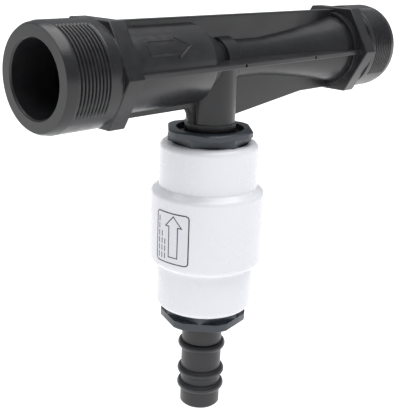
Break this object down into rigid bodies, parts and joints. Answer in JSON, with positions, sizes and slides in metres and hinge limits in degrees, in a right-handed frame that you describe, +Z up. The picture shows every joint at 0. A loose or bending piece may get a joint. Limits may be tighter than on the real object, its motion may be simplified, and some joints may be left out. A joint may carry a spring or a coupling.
{
  "type": "fertilizer injector",
  "caption": "Black venturi tee with male pipe-thread ends, a white spring check valve hanging under its throat and a hose barb below.",
  "frame": {"origin": "on the flow axis, at the shoulder where the inlet's pipe thread meets its hex", "axes": "+X along the water flow from inlet to outlet, +Z up, so that the suction branch, check valve and hose barb hang down"},
  "size_m": [0.3021, 0.0746, 0.2696],
  "materials": {
    "black_plastic": "semi-gloss black moulded polypropylene",
    "barb_plastic": "satin black moulded polypropylene",
    "slate_plastic": "satin slate grey moulded plastic",
    "white_plastic": "glossy white moulded plastic",
    "natural_plastic": "satin natural acetal",
    "seal_rubber": "smooth black rubber",
    "spring_steel": "bright stainless spring wire",
    "label_film": "thin printed film"
  },
  "bodies": {
    "housing": {"injector_body": "black_plastic", "stem_gasket": "seal_rubber", "upper_end_fitting": "slate_plastic", "upper_body_seal": "seal_rubber", "valve_body": "white_plastic", "spring_guide": "natural_plastic", "valve_spring": "spring_steel", "seat_ring": "natural_plastic", "seat_ring_seal": "seal_rubber", "lower_body_seal": "seal_rubber", "lower_end_fitting": "slate_plastic", "barb_gasket": "seal_rubber", "hose_barb": "barb_plastic", "flow_label": "label_film"},
    "poppet_assembly": {"poppet": "natural_plastic", "poppet_seal": "seal_rubber", "seal_retainer": "natural_plastic"}
  },
  "joints": [
    {"name": "poppet_lift", "type": "slide", "parent": "housing", "child": "poppet_assembly", "axis": [0, 0, 1], "range_m": [0, 0.008], "stiffness_N_per_m": 60, "springref_m": -0.01, "deforming": ["valve_spring"]}
  ]
}
